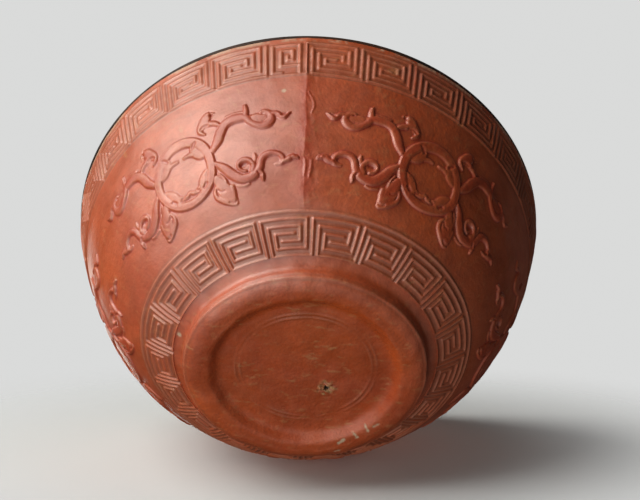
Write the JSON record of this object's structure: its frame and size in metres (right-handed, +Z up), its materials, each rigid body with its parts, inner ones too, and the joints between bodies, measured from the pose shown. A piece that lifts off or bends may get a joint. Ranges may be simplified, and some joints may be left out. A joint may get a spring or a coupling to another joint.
{
  "type": "bowl",
  "caption": "Round bowl grown from a moulded gourd, with a low foot ring, raised roundels and key-fret borders, a black lacquered lip and a lacquered inside.",
  "frame": {"origin": "middle of the resting ring, on the plane that the foot stands on", "axes": "+Z up along the bowl's axis, -Y towards the mould seam"},
  "size_m": [0.15, 0.15, 0.0656],
  "materials": {
    "gourd_rind": "polished red-brown rind, satin, paler where the relief is worn",
    "ground_coat": "matt grey priming coat",
    "lining_lacquer": "black lacquer, semi-gloss with faint brush lines",
    "lip_lacquer": "black lacquer, semi-gloss, worn brown at the edge"
  },
  "bodies": {
    "root": {"gourd_shell": "gourd_rind", "lacquer_ground": "ground_coat", "lacquer_lining": "lining_lacquer", "rim_band": "lip_lacquer"}
  },
  "joints": []
}
